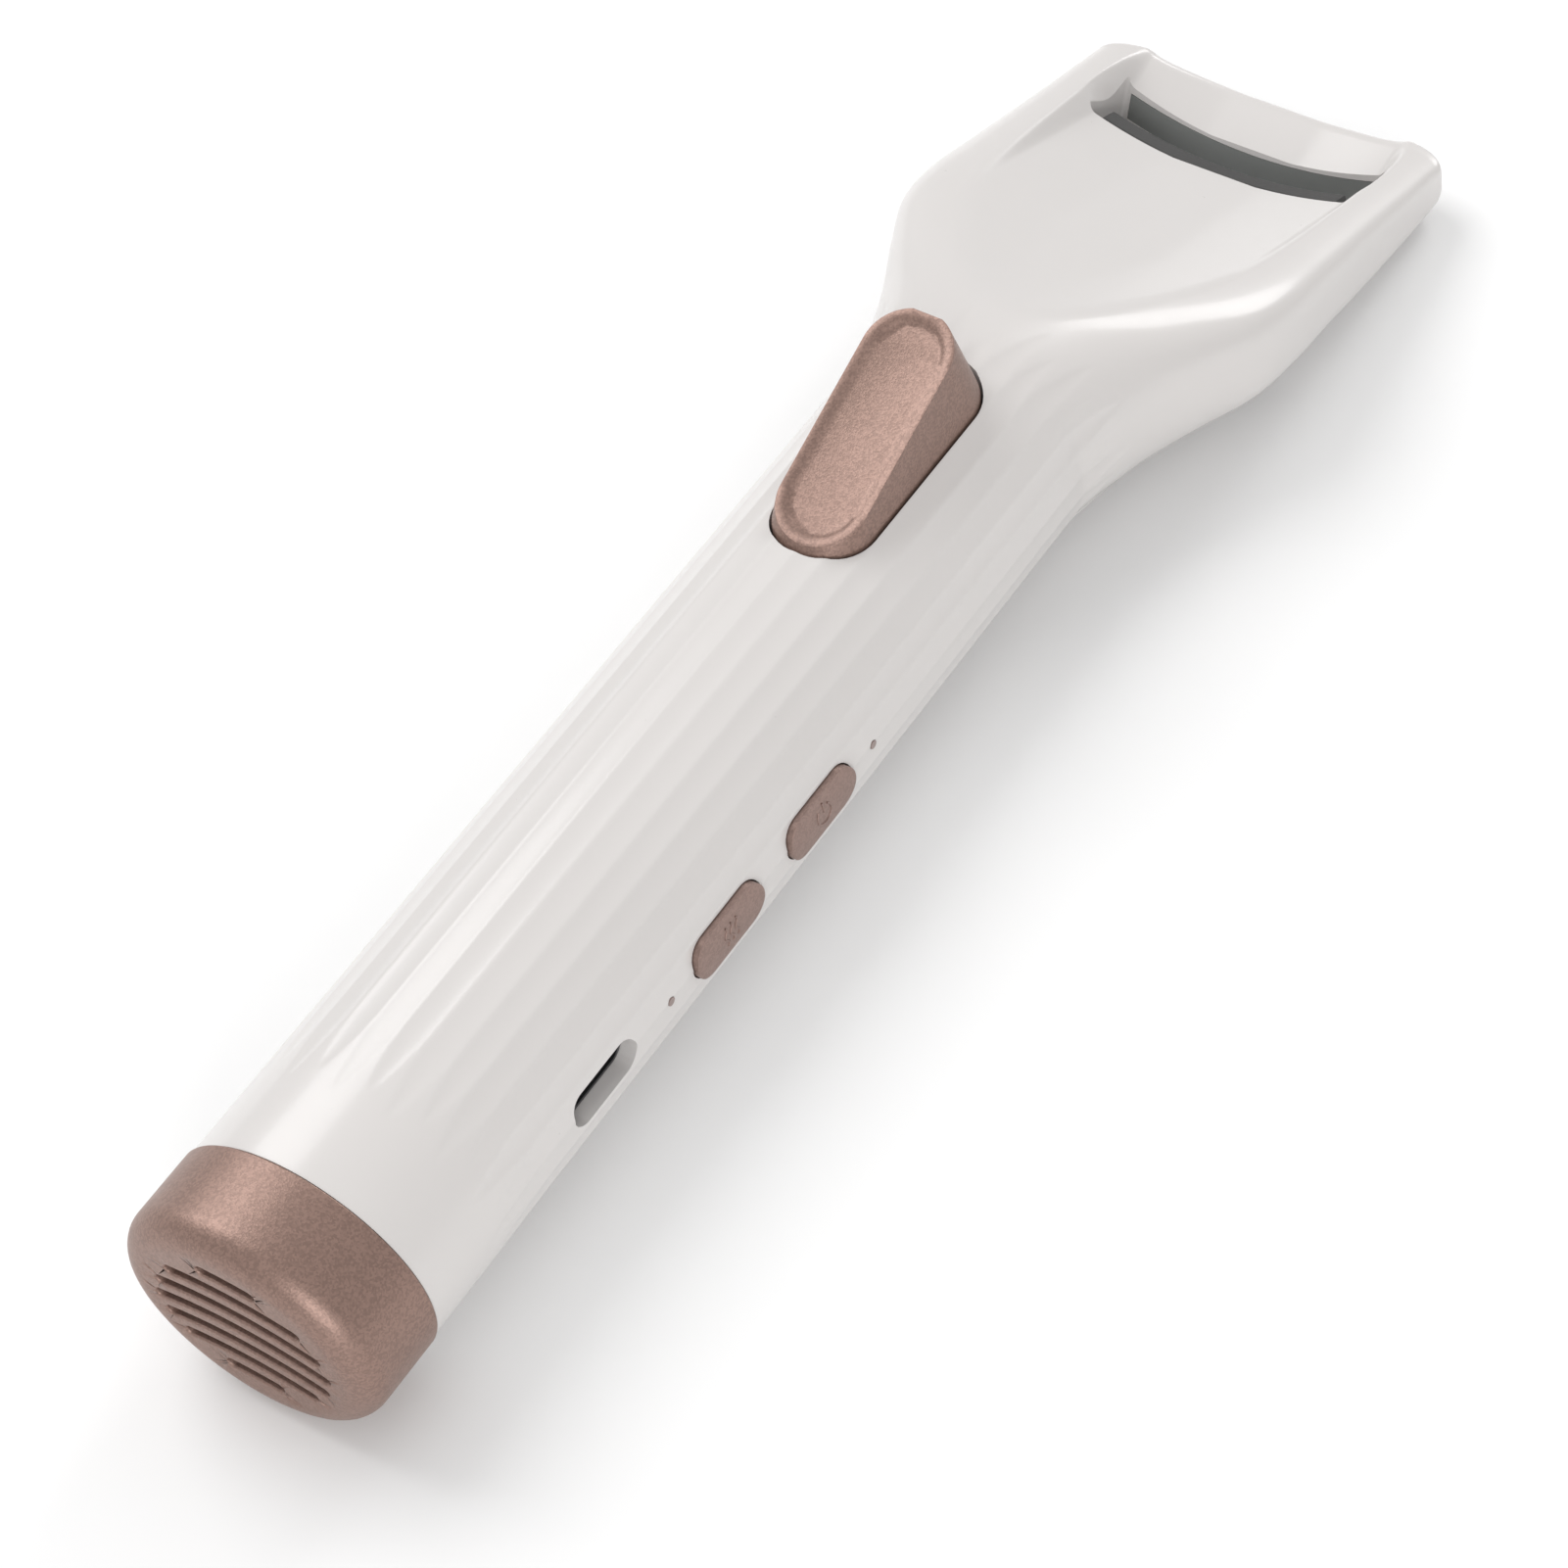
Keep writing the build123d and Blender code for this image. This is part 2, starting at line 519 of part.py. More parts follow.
# ---------------------------------------------------------------- all pieces
def make_nodes():
    shell = make_shell()
    power_y = BUTTON_YS["power"]
    temperature_y = BUTTON_YS["temperature"]
    housing_screws = []
    for x, y, seat in HOUSING_SCREWS:
        housing_screws.append(
            make_screw(x, y, seat, SCREW_RADIUS, SCREW_LENGTH, SCREW_HEAD_RADIUS, SCREW_HEAD_HEIGHT)
        )
    board_screws = []
    for x, y in BOARD_SCREWS:
        seat = BOARD_TOP - BOARD_THICKNESS
        board_screws.append(
            make_screw(x, y, seat, BOARD_SCREW_RADIUS, BOARD_THICKNESS + 2.8, 1.3, 0.8)
        )
    rod = cylinder_y(ROD_RADIUS, ROD_SPAN, (ROD_X, ROD_DEPTH))
    return {
        "front_housing": shell - cover_side(),
        "back_cover": shell & cover_side(SEAM_GAP),
        "end_cap": make_end_cap(),
        "dust_screen": make_dust_screen(),
        "thumb_lever": make_thumb_lever(),
        "cam_pin": cylinder_x(CAM_PIN_RADIUS, (-3.1, 3.1), CAM_PIN),
        "lever_pin": cylinder_x(PIN_RADIUS, (-PIN_HALF_LENGTH, PIN_HALF_LENGTH), LEVER_PIVOT),
        "lever_spring": make_lever_spring(),
        "jaw_carriage": make_jaw_carriage(),
        "heater_bar": make_heater_bar(),
        "ptc_heater": arc_band(9.0, (1.9, 3.5), (-4.6, -3.05)),
        "thermistor": TRAY * Pos(11, -3.85, -1.55) * Sphere(0.6),
        "silicone_pad": make_silicone_pad(),
        "fixed_jaw_strip": arc_band(
            STRIP_HALF_WIDTH - 0.05,
            (STRIP_DEPTHS[0] + 0.05, STRIP_DEPTHS[1] - 0.05),
            (SLOT_LENGTH, SLOT_LENGTH + STRIP_THICKNESS),
        ),
        "guide_rods": [TRAY * rod, mirror(TRAY * rod, about=Plane.YZ)],
        "return_spring_left": make_return_spring(-1),
        "return_spring_right": make_return_spring(1),
        "power_button": make_button(power_y),
        "temperature_button": make_button(temperature_y),
        "power_switch": make_switch(power_y),
        "temperature_switch": make_switch(temperature_y),
        "light_pipes": [make_light_pipe(y) for y in LIGHT_YS.values()],
        "charge_led": make_led(LIGHT_YS["charge"]),
        "heat_led": make_led(LIGHT_YS["heat"]),
        "usb_c_port": make_usb_port(),
        "circuit_board": make_circuit_board(),
        "controller_chip": box((4.2, 7.2), (59, 63.5), (BOARD_TOP, BOARD_TOP + 1)),
        "battery": make_battery(),
        "battery_tabs": make_battery_tabs(),
        "battery_cushion": box((-6.5, -1.5), (35, 63), (-8.3, -7.05)),
        "housing_screws": housing_screws,
        "board_screws": board_screws,
    }


def main():
    os.makedirs("parts", exist_ok=True)
    placing = Pos(0, -rim_point(*TIP_OUTLINE[3])[0] / 2, -REST_LEVEL)
    for name, shape in make_nodes().items():
        pieces = shape if isinstance(shape, list) else [shape]
        solids = [solid for piece in pieces for solid in piece.solids()]
        placed = placing * Compound(children=solids)
        export_step(placed, f"parts/{name}.step")


main()
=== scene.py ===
import json
from math import ceil, cos, floor, pi, radians, sin, sqrt, tan

import bmesh
import bpy
from mathutils import Matrix, Vector


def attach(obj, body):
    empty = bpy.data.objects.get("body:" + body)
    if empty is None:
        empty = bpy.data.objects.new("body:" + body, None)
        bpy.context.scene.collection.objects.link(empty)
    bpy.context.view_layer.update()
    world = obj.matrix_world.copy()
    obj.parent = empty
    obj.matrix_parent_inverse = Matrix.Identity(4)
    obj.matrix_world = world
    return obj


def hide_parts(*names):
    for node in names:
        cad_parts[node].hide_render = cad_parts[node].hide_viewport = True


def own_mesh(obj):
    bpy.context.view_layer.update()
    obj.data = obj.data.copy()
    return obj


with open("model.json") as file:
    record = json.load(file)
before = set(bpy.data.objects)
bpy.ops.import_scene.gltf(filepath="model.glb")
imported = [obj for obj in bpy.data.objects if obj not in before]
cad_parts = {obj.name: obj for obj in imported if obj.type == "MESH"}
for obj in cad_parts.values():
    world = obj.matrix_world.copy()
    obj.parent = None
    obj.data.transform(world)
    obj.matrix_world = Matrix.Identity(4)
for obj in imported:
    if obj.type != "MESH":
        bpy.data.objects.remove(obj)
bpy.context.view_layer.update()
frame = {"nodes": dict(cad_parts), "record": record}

# The same form as the CAD housing, in millimetres: Y from the tail face, Z from the handle's axis.
HALF_LENGTH = 88.0435
REST = -11.92
WALL = 1.5
BODY_START = 9.63
NECK = 114.4
RIM = (157.7, 0.25, radians(17.2))   # Y and Z of a point on the rim's side line, and its slope
TRAY = (161.8, -5.4, radians(22.5))  # Y and Z of the tray's edge in the middle, and the tray's slope
TRAY_RADIUS = 54.6                   # of the hollow across the tray
SLOT_LENGTH = 8.2
SLOT_WIDTH = 30.2
CORNER = (14.6, 5.7, 3.4)   # where the tip starts to turn back, over what width, and how far
LIP_RISE = radians(35.0 - 22.5)
# side outline of the tip: along the rim's line from its point, and out of it
TIP = ((18.4, 0.0), (19.6, -1.6), (20.3, -3.4), (20.1, -4.8), (19.3, -6.0), (17.4, -7.4))
# Y, half width, top, bottom, height of the widest line, and how square the section is above and below it
STATIONS = (
    (BODY_START, 13.0, 11.77, -11.77, 0.0, 2.0, 2.0),
    (NECK, 13.0, 11.77, -11.77, 0.0, 2.0, 2.0),
    (116.0, 13.3, 11.76, -11.77, 0.1, 2.05, 2.0),
    (119.0, 14.0, 11.5, -11.77, 0.3, 2.3, 2.0),
    (124.0, 15.5, 10.6, -11.77, 0.6, 2.8, 2.05),
    (130.0, 18.1, 8.8, -11.77, 0.6, 4.0, 2.1),
    (136.0, 20.5, 6.97, -11.78, -0.4, 5.5, 2.15),
    (142.0, 21.1, 5.11, -11.8, -1.4, 6.5, 2.2),
    (150.0, 20.8, 2.63, -11.82, -2.8, 6.5, 2.6),
    (160.0, 20.4, -0.46, -11.87, -4.6, 6.5, 3.6),
    (170.0, 20.1, -3.56, -11.9, -6.4, 6.5, 5.0),
    (180.0, 19.8, -6.65, -11.92, -8.4, 6.5, 6.0),
)
FLUTES = 30
FLUTE_DEPTH = 0.16
FLUTE_STAGGER = (1.6, 2.2)  # how much later and earlier every second flute starts and ends
FLUTE_TIP = 7.0          # length of a flute's narrowing end
TIP_ROUND = 1.1
SKIN = 0.06              # the visual skin lies this far inside the CAD form
AROUND = 360             # points in one ring of the skin
FLUTED = (18.0, 121.0)   # where the flutes start and end
FLOOR_START = 112        # the hollow tray shapes the front from here on
WALL_FOOT = 14.2         # half width where the wall beside the tray starts to rise
WALL_RUN = 2.9           # width over which it rises
WALL_OVER = 0.6          # how far it passes above the rim, so that the outer form takes over there
LIFT_FROM, LIFT = 17.0, 3.0      # half width past which the floor's height climbs clear, and how steeply
FLOOR_INSET = 1.08       # an inset measured along Z on the sloping floor
SKIN_BLEND, ROOM_BLEND = 0.4, 0.3  # how softly the floor meets the outer form, and the room's top
FOOT = 0.02              # the skin's clearance over the surface that the tool lies on
TIP_EASE = 0.4           # share of the tip's side outline that is rounded between its points
SHAPED_END = 16          # length over which the rings lean into the shape of the tip
ROUND_STEPS = 5
END_ROWS = 8
LEVER_MIDDLE_Y = 100.025
LEVER_HOLE = (27.75, 10.5)
SIDE_Z = 0.96            # height of the port, keys and lights on the right side
PORT_Y = 35.1
TEMPERATURE_Y, POWER_Y = 53.85, 68.8
LIGHTS_Y = (45.0, 77.6)
PAD_HALF_WIDTH = 13.85
PAD_MIDDLE = (1.51, -1.8)        # along the tray from its edge, and out of it
PAD_SECTION = (2.76, 3.36, 0.45)  # its two sizes there, and the radius of its edges
PAD_CLOSE = 0.7          # length over which its ends close
KEY_CROWN = (13.35, 12.12)       # half axes of the ellipse that the keys' faces follow
KEY_HOLE = (10.7, 4.7)
PORT_HOLE = (9.3, 3.6)
LIGHT_RADIUS = 0.47
# half width, depths under the tray's middle line, and reach along the tray
JAW_HOLE = (14.2, (1.55, 4.9), (-4, 0.5))
STRIP_HOLE = (14.4, (0.4, 3.2), (SLOT_LENGTH - 0.5, SLOT_LENGTH + 0.8))
PAD_STEM = (13.4, (1.95, 3.25), (-1.2, 0.3))
SCREW_RADIUS = 2.05
# x, y and seat height of each screw hole
SCREWS = ((0.0, 19.5, -10.1), (-3.0, 80.0, -10.1), (-13.5, 142.5, -8.2), (13.5, 142.5, -8.2))


def row(x, y, z):
    """A point of the model, in metres in the shared frame."""
    return Vector((x / 1000, (y - HALF_LENGTH) / 1000, (z - REST) / 1000))


def mix(a, b, t):
    return a + (b - a) * t


def smooth(t):
    t = min(max(t, 0.0), 1.0)
    return t * t * (3 - 2 * t)


def smooth_min(a, b, k):
    """The lower of two heights, rounded where they are within k of each other."""
    t = max(k - abs(a - b), 0.0) / k
    return min(a, b) - t * t * k / 4


def station_at(y):
    """Section values at y: straight on the handle, a smooth cubic through the stations of the head."""
    if y <= NECK:
        return STATIONS[1][1:]
    i = max(j for j in range(len(STATIONS) - 1) if STATIONS[j][0] <= y)
    here, there = STATIONS[i], STATIONS[min(i + 1, len(STATIONS) - 1)]
    before, after = STATIONS[max(i - 1, 1)], STATIONS[min(i + 2, len(STATIONS) - 1)]
    span = there[0] - here[0]
    t = (y - here[0]) / span
    values = []
    for k in range(1, 7):
        m0 = (there[k] - before[k]) / max(there[0] - before[0], 1e-6) * span if i > 1 else 0.0
        m1 = (after[k] - here[k]) / max(after[0] - here[0], 1e-6) * span
        h = (2 * t**3 - 3 * t * t + 1) * here[k] + (t**3 - 2 * t * t + t) * m0
        values.append(h + (3 * t * t - 2 * t**3) * there[k] + (t**3 - t * t) * m1)
    return values


def tray_place(t, m):
    """Y and Z of a point t along the tray past its edge and m out of it."""
    a = TRAY[2]
    return TRAY[0] + t * cos(a) + m * sin(a), TRAY[1] - t * sin(a) + m * cos(a)


def sagitta(x):
    """How far the hollow of the tray has risen at x."""
    return TRAY_RADIUS - sqrt(TRAY_RADIUS**2 - x * x)


def rim_height(y):
    """Height of the rim's side line at y."""
    return RIM[1] - (y - RIM[0]) * tan(RIM[2])


def front_floor(x, y):
    """Height of the hollow tray, then of the fixed jaw's sloping front beyond the slot."""
    ax = abs(x)
    edge_y, edge_z = tray_place(SLOT_LENGTH, 0)
    before_slot = TRAY[1] + (TRAY[0] - y) * tan(TRAY[2]) + sagitta(ax) / cos(TRAY[2])
    past_slot = edge_z + (y - edge_y) * tan(LIP_RISE) + sagitta(ax) / cos(LIP_RISE)
    floor_z = mix(before_slot, past_slot, smooth((y - TRAY[0] - 0.8) / (edge_y - TRAY[0] - 1.6)))
    wall = max(rim_height(y) - floor_z, 0.0) + WALL_OVER
    return floor_z + wall * smooth((ax - WALL_FOOT) / WALL_RUN) + LIFT * max(ax - LIFT_FROM, 0)


def flute(y, turn, tail, head):
    """Depth of the shallow scallops round the handle, which end in staggered round tips."""
    phase = turn / (2 * pi) * FLUTES
    index = int(floor(phase + 0.5))
    offset = phase - index
    start = tail + FLUTE_STAGGER[0] * (index % 2)
    end = head - FLUTE_STAGGER[1] * (index % 2)
    reach = min(y - start, end - y)
    if reach <= 0:
        return 0.0
    width = sqrt(min(reach / FLUTE_TIP, 1.0))
    return FLUTE_DEPTH * width * max(0.0, 1 - (offset / (0.5 * width)) ** 2)


def skin_point(y, turn, inset):
    """A point of the skin, or of the room inside; turn 0 is on the right side and grows toward the front."""
    half_width, top, bottom, middle, up, down = station_at(y)
    above = sin(turn) >= 0
    power = 2 / (up if above else down)
    reach = (top - middle if above else middle - bottom) - inset
    x = (half_width - inset) * abs(cos(turn)) ** power * (1 if cos(turn) >= 0 else -1)
    z = middle + (1 if above else -1) * reach * abs(sin(turn)) ** power
    outer = inset == SKIN
    if outer:
        cut = flute(y, turn, *FLUTED)
        x -= cut * cos(turn)
        z -= cut * sin(turn)
    if above and y > FLOOR_START:
        z = smooth_min(z, front_floor(x, y) - inset * FLOOR_INSET, SKIN_BLEND if outer else ROOM_BLEND)
    return x, y, max(z, REST + (FOOT if outer else WALL))


def tip_y(z):
    """Where the tip's side outline lies at a height."""
    rim_y, rim_z, a = RIM
    points = [(rim_y + v * cos(a) + h * sin(a), rim_z - v * sin(a) + h * cos(a)) for v, h in TIP]
    if z >= points[0][1]:
        return points[0][0]
    for (y0, z0), (y1, z1) in zip(points, points[1:]):
        if z1 <= z <= z0:
            t = (z0 - z) / (z0 - z1)
            return mix(y0, y1, smooth(t) * TIP_EASE + t * (1 - TIP_EASE))
    return points[-1][0]


def corner_y(x):
    """How far the tip's rounded corners fall back at x."""
    start, width, depth = CORNER
    over = min(max(abs(x) - start, 0.0) / width, 1.0)
    return depth * (1 - sqrt(1 - over * over))


def mesh_object(name, verts, faces, body=None):
    mesh = bpy.data.meshes.new(name)
    mesh.from_pydata(verts, [], faces)
    mesh.validate()
    obj = bpy.data.objects.new(name, mesh)
    bpy.context.scene.collection.objects.link(obj)
    if body:
        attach(obj, body)
    return obj


def front_face(verts, first, around, end_y):
    """Columns of points from the last ring's top to its foot, so the blunt end keeps its side outline."""
    columns = []
    for i in range(around // 2):
        top, foot = first + i, first + around - 1 - i
        column = [top]
        if 0 < i < around // 2 - 1:
            (x0, y0, z0), (x1, y1, z1) = verts[top], verts[foot]
            for k in range(1, END_ROWS):
                t = k / END_ROWS
                z = mix(z0, z1, t)
                bulge = end_y(z) - mix(end_y(z0), end_y(z1), t)
                column.append(len(verts))
                verts.append((mix(x0, x1, t), mix(y0, y1, t) + bulge, z))
        columns.append(column + [foot])
    faces = []
    for here, there in zip(columns, columns[1:]):
        if len(here) != len(there):
            faces.append(tuple(there + here[::-1]))
            continue
        for k in range(END_ROWS):
            faces.append((here[k], there[k], there[k + 1], here[k + 1]))
    return faces


def tube(ys, end_y, inset, around):
    """Rings of the skin, or of the room inside, from the tail to a shaped end, closed at both ends."""
    verts, faces = [], []
    outer = inset == SKIN
    last = ys[-1]
    lean_from = last - SHAPED_END
    for y in ys:
        for i in range(around):
            turn = 2 * pi * (i + 0.5) / around
            x, place, z = skin_point(y, turn, inset)
            if y > lean_from:
                share = (y - lean_from) / (last - lean_from)
                fall = TIP_ROUND + corner_y(x) if outer else 0.0
                place = y + (end_y(z) - fall - last) * share**1.5
                x, _, z = skin_point(min(place, STATIONS[-1][0]), turn, inset)
            verts.append((x, place, z))
    rings = len(ys)
    if outer:
        first = (rings - 1) * around
        base = [(*verts[first + i], 2 * pi * (i + 0.5) / around) for i in range(around)]
        for step in range(1, ROUND_STEPS + 1):
            a = step / ROUND_STEPS * pi / 2
            shrink, push = TIP_ROUND * (1 - cos(a)), TIP_ROUND * sin(a)
            for x, y, z, turn in base:
                verts.append((x - shrink * cos(turn), y + push, z - shrink * sin(turn)))
        rings += ROUND_STEPS
    for r in range(rings - 1):
        for i in range(around):
            j = (i + 1) % around
            faces.append((r * around + i, r * around + j, (r + 1) * around + j, (r + 1) * around + i))
    fans = [(0, True)] if outer else [(0, True), (rings - 1, False)]
    for ring, flip in fans:
        loop = [ring * around + i for i in range(around)]
        centre = len(verts)
        pts = [verts[k] for k in loop]
        verts.append(tuple(sum(p[c] for p in pts) / around for c in range(3)))
        for i in range(around):
            a, b = loop[i], loop[(i + 1) % around]
            faces.append((b, a, centre) if flip else (a, b, centre))
    if outer:
        faces += front_face(verts, (rings - 1) * around, around, end_y)
    return [row(*v) for v in verts], faces


def prism(name, outline, low, high, place):
    """A closed prism; outline is a list of 2-D points, place maps (u, v, w) to a model point."""
    n = len(outline)
    verts = [row(*place(u, v, w)) for w in (low, high) for u, v in outline]
    faces = [tuple(range(n))[::-1], tuple(range(n, 2 * n))]
    faces += [(i, (i + 1) % n, n + (i + 1) % n, n + i) for i in range(n)]
    return mesh_object(name, verts, faces)


def stadium(length, width, steps=20):
    """Outline of a slot with round ends."""
    r = width / 2
    points = []
    for side in (1, -1):
        for i in range(steps + 1):
            a = -pi / 2 + pi * i / steps
            points.append((side * (length / 2 - r + r * cos(a)), side * r * sin(a)))
    return points


def rounded(width, height, radius, steps=5):
    """Outline of a rectangle with round corners."""
    points = []
    for cx, cy, start in ((1, 1, 0), (-1, 1, 90), (-1, -1, 180), (1, -1, 270)):
        for i in range(steps + 1):
            a = radians(start + 90 * i / steps)
            middle = cx * (width / 2 - radius), cy * (height / 2 - radius)
            points.append((middle[0] + radius * cos(a), middle[1] + radius * sin(a)))
    return points


def circle(radius, steps=24):
    return [(radius * cos(2 * pi * i / steps), radius * sin(2 * pi * i / steps)) for i in range(steps)]


def on_side(y):
    """Places for a prism that enters the right side at y: u along the handle, v up, w outward."""
    return lambda u, v, w: (w, y + u, SIDE_Z + v)


def in_tray(u, v, w):
    """u across, v along the tray from the middle of the slot, w out of it."""
    return u, *tray_place(v + SLOT_LENGTH / 2, w)


def band_outline(half_width, depth, steps=24):
    """Outline of a band that follows the tray's hollow, between two depths under it."""
    xs = [-half_width + 2 * half_width * i / steps for i in range(steps + 1)]
    top = [(x, sagitta(x) - depth[0]) for x in xs]
    return top + [(x, sagitta(x) - depth[1]) for x in reversed(xs)]


def arc_prism(name, half_width, depth, t):
    outline = band_outline(half_width, depth)
    return prism(name, outline, t[0], t[1], lambda u, v, w: (u, *tray_place(w, v)))


def cut_away(target, cutters):
    """Takes the cutters out of the target for good, and removes them."""
    for cutter in cutters:
        bm = bmesh.new()
        bm.from_mesh(cutter.data)
        bmesh.ops.recalc_face_normals(bm, faces=bm.faces)
        bm.to_mesh(cutter.data)
        bm.free()
        mod = target.modifiers.new("cut", "BOOLEAN")
        mod.operation = "DIFFERENCE"
        mod.solver = "EXACT"
        mod.object = cutter
    depsgraph = bpy.context.evaluated_depsgraph_get()
    mesh = bpy.data.meshes.new_from_object(target.evaluated_get(depsgraph))
    target.modifiers.clear()
    target.data = mesh
    for cutter in cutters:
        bpy.data.objects.remove(cutter)


def shade(obj, angle):
    obj.data.shade_smooth()
    mod = obj.modifiers.new("normals", "WEIGHTED_NORMAL")
    mod.keep_sharp = True
    obj.data.set_sharp_from_angle(angle=radians(angle))


# ---------------------------------------------------------------- housing
def spaced(start, end, step):
    n = max(int(ceil((end - start) / step)), 1)
    return [start + (end - start) * i / n for i in range(n + 1)]


def room_end(z):
    """Where the room inside ends: a wall behind the slot, square to the tray."""
    return TRAY[0] - 1.6 / cos(TRAY[2]) + (z - TRAY[1]) * tan(TRAY[2])


def make_body():
    # rings lie closer where the flutes end and where the head bends
    ys = spaced(BODY_START + 0.02, 16, 1.6)[:-1] + spaced(16, 26, 0.4)[:-1] + spaced(26, 108, 2.0)[:-1]
    ys += spaced(108, 126, 0.45)[:-1] + spaced(126, 176.0, 0.6)
    verts, faces = tube(ys, tip_y, SKIN, AROUND)
    body = mesh_object("white_body", verts, faces, "housing")
    inner_ys = spaced(BODY_START + 3, 112, 6.0)[:-1] + spaced(112, 160.0, 1.2)
    verts, faces = tube(inner_ys, room_end, WALL, AROUND // 3)
    cutters = [mesh_object("room", verts, faces)]
    cutters.append(prism("slot", rounded(SLOT_WIDTH, SLOT_LENGTH, 0.5), -16, 16, in_tray))
    lever_plan = stadium(*LEVER_HOLE, 24)
    cutters.append(prism("lever_hole", lever_plan, 7.0, 20, lambda u, v, w: (v, LEVER_MIDDLE_Y + u, w)))
    for y in (TEMPERATURE_Y, POWER_Y):
        cutters.append(prism("key_hole", stadium(*KEY_HOLE), 8.0, 16, on_side(y)))
    cutters.append(prism("port_hole", stadium(*PORT_HOLE), 7.0, 16, on_side(PORT_Y)))
    for y in LIGHTS_Y:
        cutters.append(prism("light_hole", circle(LIGHT_RADIUS), 8.0, 16, on_side(y)))
    cutters.append(arc_prism("jaw_hole", *JAW_HOLE))
    cutters.append(arc_prism("strip_hole", *STRIP_HOLE))
    for x, y, seat in SCREWS:
        def place(u, v, w, x=x, y=y):
            return x + u, y + v, w
        cutters.append(prism("screw_hole", circle(SCREW_RADIUS, 32), REST - 1, seat, place))
    cut_away(body, cutters)
    bevel = body.modifiers.new("edges", "BEVEL")
    bevel.width = 0.00022
    bevel.segments = 2
    bevel.limit_method = "ANGLE"
    bevel.angle_limit = radians(50)
    shade(body, 40)
    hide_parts("front_housing", "back_cover")
    return body


body = make_body()


# ---------------------------------------------------------------- silicone pad
def make_pad():
    """A soft curved bar with rounded edges, and the stem that the heater bar holds."""
    middle_t, middle_m = PAD_MIDDLE
    head = [(x + middle_t, y + middle_m) for x, y in rounded(*PAD_SECTION, 6)]
    steps, n = 60, len(head)
    verts, faces = [], []
    for k in range(steps + 1):
        x = -PAD_HALF_WIDTH + 2 * PAD_HALF_WIDTH * k / steps
        close = min((PAD_HALF_WIDTH - abs(x)) / PAD_CLOSE, 1)
        grow = sqrt(max(1 - (1 - close) ** 2, 0.02))
        for t, m in head:
            along = mix(middle_t, t, 0.6 + 0.4 * grow)
            out = mix(middle_m, m, 0.6 + 0.4 * grow)
            y, z = tray_place(along, sagitta(abs(x)) + out)
            verts.append(row(x, y, z))
    for k in range(steps):
        for i in range(n):
            j = (i + 1) % n
            faces.append((k * n + i, k * n + j, (k + 1) * n + j, (k + 1) * n + i))
    faces.append(tuple(range(n))[::-1])
    faces.append(tuple(steps * n + i for i in range(n)))
    pad = mesh_object("lash_pad", verts, faces, "jaw")
    bm = bmesh.new()
    bm.from_mesh(pad.data)
    bmesh.ops.recalc_face_normals(bm, faces=bm.faces)
    bm.to_mesh(pad.data)
    bm.free()
    stem = arc_prism("pad_stem", *PAD_STEM)
    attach(stem, "jaw")
    paint(stem, MATERIALS["dark_silicone"])
    shade(pad, 45)
    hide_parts("silicone_pad")
    return pad


# ---------------------------------------------------------------- icons on the keys
def crown_x(z):
    """How far out a key's face is at a height."""
    half_width, half_depth = KEY_CROWN
    return half_width * sqrt(1 - (z / half_depth) ** 2)


def icon(name, lines, y0, body_name):
    """Thin raised lines that follow the key's crown."""
    curve = bpy.data.curves.new(name, "CURVE")
    curve.dimensions = "3D"
    curve.bevel_depth = 0.00011
    curve.bevel_resolution = 2
    curve.use_fill_caps = True
    for line in lines:
        spline = curve.splines.new("POLY")
        spline.points.add(len(line) - 1)
        for point, (u, v) in zip(spline.points, line):
            z = SIDE_Z + v
            point.co = (*row(crown_x(z), y0 + u, z), 1)
    drawn = bpy.data.objects.new(name + "_curve", curve)
    bpy.context.scene.collection.objects.link(drawn)
    solid = bpy.data.meshes.new_from_object(drawn.evaluated_get(bpy.context.evaluated_depsgraph_get()))
    bpy.data.objects.remove(drawn)
    obj = bpy.data.objects.new(name, solid)
    bpy.context.scene.collection.objects.link(obj)
    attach(obj, body_name)
    return obj


ring = [(1.05 * sin(radians(a)), 1.05 * cos(radians(a))) for a in range(38, 323, 8)]
power_icon = icon("power_icon", [ring, [(0, 0.25), (0, 1.35)]], POWER_Y, "power_key")
waves = [[(k * 0.8 + 0.22 * sin(s * 0.9), -1.1 + 0.22 * s) for s in range(11)] for k in (-1, 0, 1)]
heat_icon = icon("heat_icon", waves, TEMPERATURE_Y, "temperature_key")


